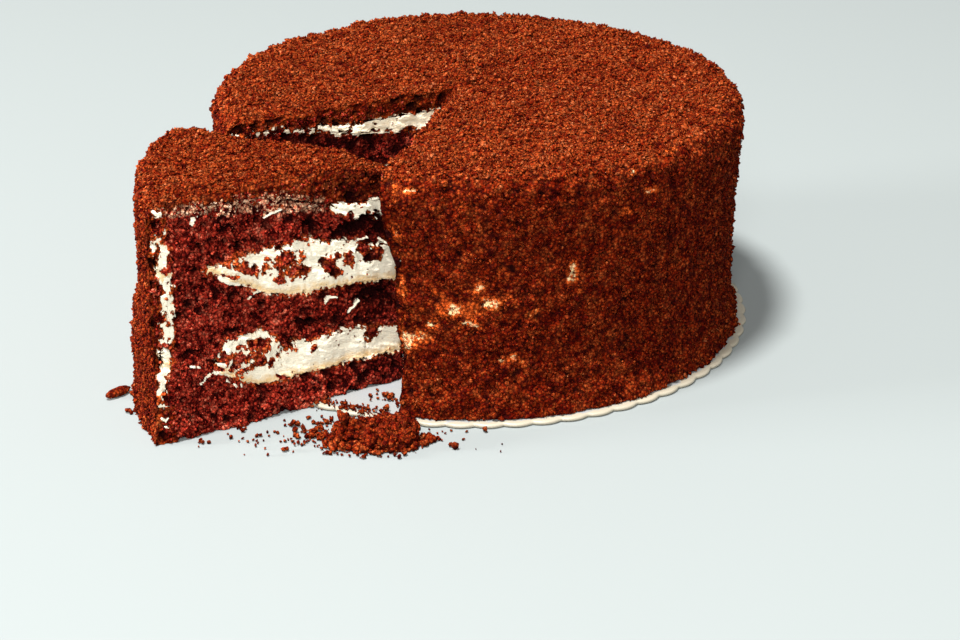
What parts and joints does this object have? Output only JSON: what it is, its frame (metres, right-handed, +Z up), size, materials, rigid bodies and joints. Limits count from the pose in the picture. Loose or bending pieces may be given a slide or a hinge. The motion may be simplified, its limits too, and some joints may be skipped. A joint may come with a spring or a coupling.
{
  "type": "red velvet layer cake",
  "caption": "Round layer cake with red sponge, cream filling and a coat of crumbs, one slice half drawn out of it, on a thin scalloped card.",
  "frame": {"origin": "the cake's axis at the underside of the card, on the surface that the part stands on", "axes": "+Z up along the cake's axis; -Y towards the side on which the slice is drawn out; +X to the right of someone who looks at that side"},
  "size_m": [0.2316, 0.2236, 0.0892],
  "materials": {
    "sponge": "open, damp red crumb with small pores",
    "cream": "soft whipped cream, slightly glossy, with smears and crumbs in it",
    "crumbs": "dry rough red-brown cake crumbs",
    "card": "coated white board, faintly glossy"
  },
  "bodies": {
    "root": {"cake_card": "card", "cake_sponge_bottom": "sponge", "cake_sponge_middle": "sponge", "cake_sponge_top": "sponge", "cake_filling_lower": "cream", "cake_filling_upper": "cream", "cake_icing": "cream", "cake_crumb_coat": "crumbs", "slice_sponge_bottom": "sponge", "slice_sponge_middle": "sponge", "slice_sponge_top": "sponge", "slice_filling_lower": "cream", "slice_filling_upper": "cream", "slice_icing": "cream", "slice_crumb_coat": "crumbs", "fallen_crumbs": "crumbs", "fallen_flake": "crumbs"}
  },
  "joints": []
}
